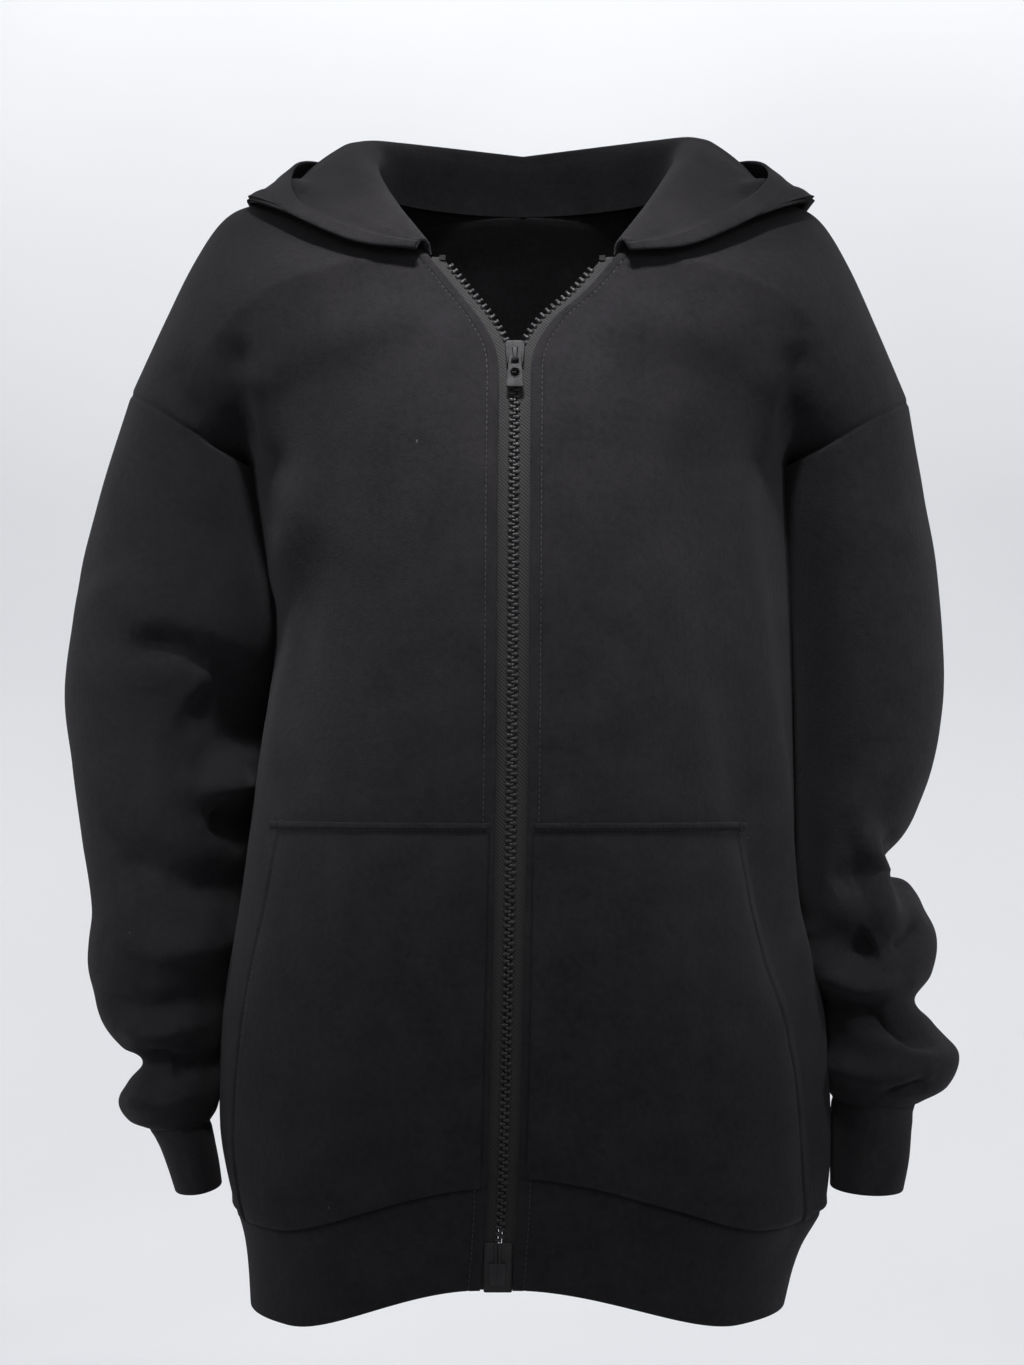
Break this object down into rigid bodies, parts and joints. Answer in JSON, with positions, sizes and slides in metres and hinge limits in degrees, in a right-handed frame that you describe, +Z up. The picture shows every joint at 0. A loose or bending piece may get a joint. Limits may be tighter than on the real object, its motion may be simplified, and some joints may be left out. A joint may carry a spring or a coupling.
{
  "type": "zip up hoodie",
  "caption": "Oversized black zip up hoodie in brushed fleece, filled out as worn, with the hood dropped and the zip closed to the chest.",
  "frame": {"origin": "between the wearer's shoulders, at the height where they carry the garment", "axes": "+Z up, -Y out of the front of the garment, +X towards the wearer's left"},
  "size_m": [0.57, 0.3298, 0.7489],
  "materials": {
    "brushed_fleece": "brushed",
    "zip_tape": "woven",
    "zip_plastic": "satin",
    "zip_metal": "gloss"
  },
  "bodies": {
    "garment": {"front_right": "brushed_fleece", "front_left": "brushed_fleece", "back": "brushed_fleece", "hem_band_front_right": "brushed_fleece", "hem_band_front_left": "brushed_fleece", "hem_band_back": "brushed_fleece", "sleeve_right": "brushed_fleece", "sleeve_left": "brushed_fleece", "cuff_right": "brushed_fleece", "cuff_left": "brushed_fleece", "hood_right": "brushed_fleece", "hood_left": "brushed_fleece", "pocket_right": "brushed_fleece", "pocket_left": "brushed_fleece", "zip_tape_right": "zip_tape", "zip_tape_left": "zip_tape", "zip_teeth_right": "zip_plastic", "zip_teeth_left": "zip_plastic", "zip_stop_right": "zip_plastic", "zip_stop_left": "zip_plastic", "zip_box": "zip_plastic", "zip_slider": "zip_metal"},
    "pull": {"pull_tab": "zip_metal"}
  },
  "joints": [
    {"name": "pull_tab_hinge", "type": "hinge", "parent": "garment", "child": "pull", "pos_m": [0.00241, -0.13069, -0.10248], "axis": [-1, 0, 0], "range_deg": [0, 120]}
  ]
}
